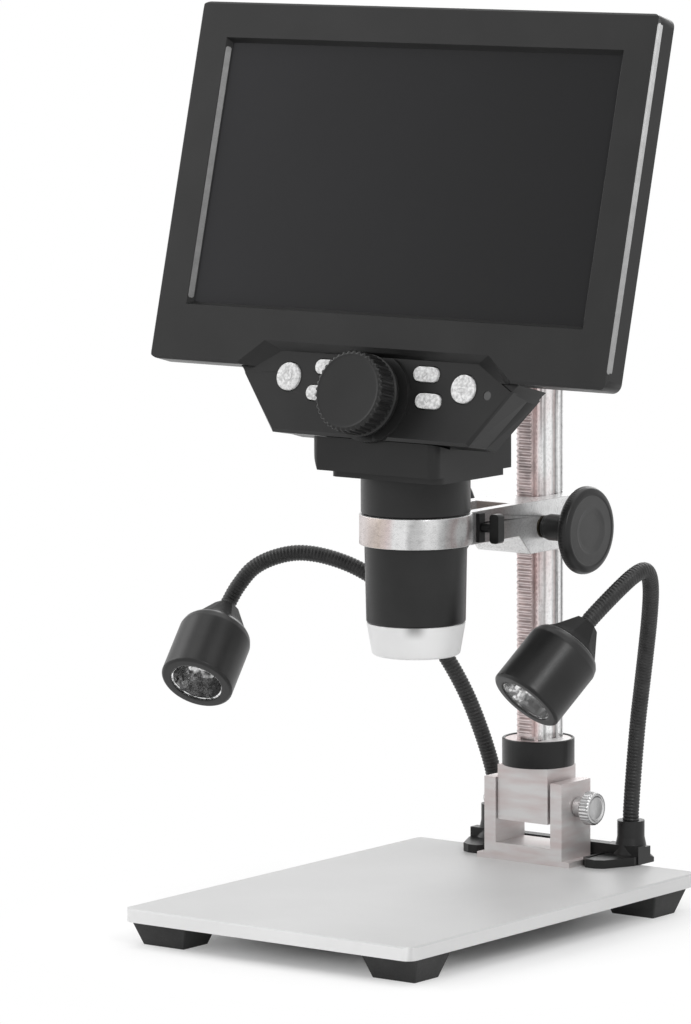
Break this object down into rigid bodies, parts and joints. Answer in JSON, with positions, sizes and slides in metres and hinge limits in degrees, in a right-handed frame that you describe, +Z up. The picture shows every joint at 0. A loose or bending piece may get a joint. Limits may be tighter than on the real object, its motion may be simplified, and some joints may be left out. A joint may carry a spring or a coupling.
{
  "type": "lcd digital microscope",
  "caption": "Desk microscope with a tilted colour screen on a lens barrel, a rack and pinion column on a flat base, and two lamps on goosenecks.",
  "frame": {"origin": "on the surface the feet stand on, under the middle of the base plate", "axes": "+Z up, +X to the right of a person looking at the screen, +Y from the screen to the column"},
  "size_m": [0.2057, 0.1683, 0.2941],
  "materials": {
    "base_plate": "satin",
    "foot_rubber": "matte",
    "dark_screws": "satin",
    "bracket_silver": "satin",
    "screw_silver": "polished",
    "black_anodised": "satin",
    "column_silver": "brushed",
    "rack_steel": "satin",
    "black_plastic": "satin",
    "carriage_silver": "brushed",
    "bush_brass": "satin",
    "shaft_steel": "polished",
    "screen_glass": "polished",
    "display_black": "gloss",
    "board_green": "satin",
    "button_silver": "satin",
    "indicator_dark": "gloss",
    "diffuser_white": "frosted",
    "led_white": "satin",
    "lens_tube": "matte",
    "clear_glass": "polished",
    "goose_black": "satin",
    "lamp_black": "satin",
    "reflector_chrome": "polished"
  },
  "bodies": {
    "base": {"base_plate": "base_plate", "foot_front_left": "foot_rubber", "foot_front_right": "foot_rubber", "foot_rear_left": "foot_rubber", "foot_rear_right": "foot_rubber", "foot_screws": "dark_screws", "base_screws": "dark_screws", "tilt_bracket": "bracket_silver", "lamp_bar": "black_anodised", "left_goose_root": "goose_black", "right_goose_root": "goose_black"},
    "tilt_thumb_screw": {"tilt_screw": "screw_silver"},
    "column": {"tilt_block": "bracket_silver", "column_collar": "black_anodised", "column": "column_silver", "rack": "rack_steel", "column_cap": "black_plastic"},
    "carriage": {"carriage": "carriage_silver", "shaft_bushes": "bush_brass", "clamp_plates": "black_anodised"},
    "ring_clamp_screw": {"clamp_screw": "black_anodised"},
    "height_drive": {"height_shaft": "shaft_steel", "height_pinion": "bush_brass", "height_knob_left": "black_anodised", "height_knob_right": "black_anodised"},
    "head": {"front_bezel": "black_plastic", "screen_glass": "screen_glass", "lcd_panel": "display_black", "rear_shell": "black_plastic", "main_board": "board_green", "shell_screws": "dark_screws", "control_housing": "black_plastic", "button_board": "board_green", "indicator_window": "indicator_dark", "neck_housing": "black_plastic", "barrel_upper": "black_anodised", "barrel_lower": "black_anodised", "diffuser_cap": "diffuser_white", "led_ring": "led_white", "sensor_board": "board_green"},
    "focus_drive": {"focus_wheel": "black_plastic", "focus_spindle": "shaft_steel"},
    "lens": {"lens_carrier": "lens_tube", "lens_glass": "clear_glass"},
    "left_lower_neck": {"left_goose_lower": "goose_black"},
    "left_upper_neck": {"left_goose_upper": "goose_black"},
    "left_lamp": {"left_lamp_housing": "lamp_black", "left_lamp_reflector": "reflector_chrome", "left_lamp_window": "clear_glass"},
    "right_lower_neck": {"right_goose_lower": "goose_black"},
    "right_upper_neck": {"right_goose_upper": "goose_black"},
    "right_lamp": {"right_lamp_housing": "lamp_black", "right_lamp_reflector": "reflector_chrome", "right_lamp_window": "clear_glass"},
    "power_button_key": {"power_button": "button_silver"},
    "menu_button_key": {"menu_button": "button_silver"},
    "left_button_key": {"left_button": "button_silver"},
    "up_button_key": {"up_button": "button_silver"},
    "right_button_key": {"right_button": "button_silver"},
    "down_button_key": {"down_button": "button_silver"}
  },
  "joints": [
    {"name": "column_tilt", "type": "hinge", "parent": "base", "child": "column", "pos_m": [0, 0.06835, 0.0313], "axis": [1, 0, 0], "range_deg": [-12, 12]},
    {"name": "tilt_screw_turn", "type": "hinge", "parent": "base", "child": "tilt_thumb_screw", "pos_m": [0, 0.06835, 0.0313], "axis": [1, 0, 0], "range_deg": [-90, 90]},
    {"name": "carriage_slide", "type": "slide", "parent": "column", "child": "carriage", "axis": [0, 0, 1], "range_m": [-0.042, 0.06]},
    {"name": "height_turn", "type": "hinge", "parent": "carriage", "child": "height_drive", "pos_m": [0, 0.05623, 0.1246], "axis": [1, 0, 0], "range_deg": [-830, 830]},
    {"name": "clamp_turn", "type": "hinge", "parent": "carriage", "child": "ring_clamp_screw", "pos_m": [0, 0.02105, 0.128], "axis": [1, 0, 0], "range_deg": [-60, 60]},
    {"name": "head_turn", "type": "hinge", "parent": "carriage", "child": "head", "pos_m": [0, 0.001, 0.128], "axis": [0, 0, 1], "range_deg": [-40, 40]},
    {"name": "focus_turn", "type": "hinge", "parent": "head", "child": "focus_drive", "pos_m": [0, -0.02419, 0.17334], "axis": [0, -0.9677, 0.2521], "range_deg": [-92, 92]},
    {"name": "lens_slide", "type": "slide", "parent": "head", "child": "lens", "axis": [0, 0, 1], "range_m": [-0.004, 0.004]},
    {"name": "power_button_press", "type": "slide", "parent": "head", "child": "power_button_key", "axis": [0, 0.9677, -0.2521], "range_m": [0, 0.0005], "stiffness_N_per_m": 400, "springref_m": -0.0002},
    {"name": "menu_button_press", "type": "slide", "parent": "head", "child": "menu_button_key", "axis": [0, 0.9677, -0.2521], "range_m": [0, 0.0005], "stiffness_N_per_m": 400, "springref_m": -0.0002},
    {"name": "left_button_press", "type": "slide", "parent": "head", "child": "left_button_key", "axis": [0, 0.9677, -0.2521], "range_m": [0, 0.0005], "stiffness_N_per_m": 400, "springref_m": -0.0002},
    {"name": "up_button_press", "type": "slide", "parent": "head", "child": "up_button_key", "axis": [0, 0.9677, -0.2521], "range_m": [0, 0.0005], "stiffness_N_per_m": 400, "springref_m": -0.0002},
    {"name": "right_button_press", "type": "slide", "parent": "head", "child": "right_button_key", "axis": [0, 0.9677, -0.2521], "range_m": [0, 0.0005], "stiffness_N_per_m": 400, "springref_m": -0.0002},
    {"name": "down_button_press", "type": "slide", "parent": "head", "child": "down_button_key", "axis": [0, 0.9677, -0.2521], "range_m": [0, 0.0005], "stiffness_N_per_m": 400, "springref_m": -0.0002},
    {"name": "left_neck_lower_bend", "type": "hinge", "parent": "base", "child": "left_lower_neck", "pos_m": [-0.0364, 0.0785, 0.0625], "axis": [0.674, -0.7387, 0], "range_deg": [-10, 10]},
    {"name": "left_neck_upper_bend", "type": "hinge", "parent": "left_lower_neck", "child": "left_upper_neck", "pos_m": [-0.086, 0.053, 0.109], "axis": [0.674, -0.7387, 0], "range_deg": [-12, 12]},
    {"name": "left_lamp_nod", "type": "hinge", "parent": "left_upper_neck", "child": "left_lamp", "pos_m": [-0.10664, 0.04019, 0.09229], "axis": [0.988, 0.1545, 0], "range_deg": [-15, 15]},
    {"name": "right_neck_lower_bend", "type": "hinge", "parent": "base", "child": "right_lower_neck", "pos_m": [0.031, 0.081, 0.06], "axis": [0.9932, 0.1168, 0], "range_deg": [-8, 10]},
    {"name": "right_neck_upper_bend", "type": "hinge", "parent": "right_lower_neck", "child": "right_upper_neck", "pos_m": [0.049, 0.058, 0.113], "axis": [0.9932, 0.1168, 0], "range_deg": [-8, 12]},
    {"name": "right_lamp_nod", "type": "hinge", "parent": "right_upper_neck", "child": "right_lamp", "pos_m": [0.04473, 0.0345, 0.09993], "axis": [0.9932, 0.1168, 0], "range_deg": [-15, 15]}
  ],
  "couplings": [
    {"joint": "height_turn", "follows": "carriage_slide", "rad_per_m": -238.09},
    {"joint": "focus_turn", "follows": "lens_slide", "rad_per_m": 387.08}
  ]
}
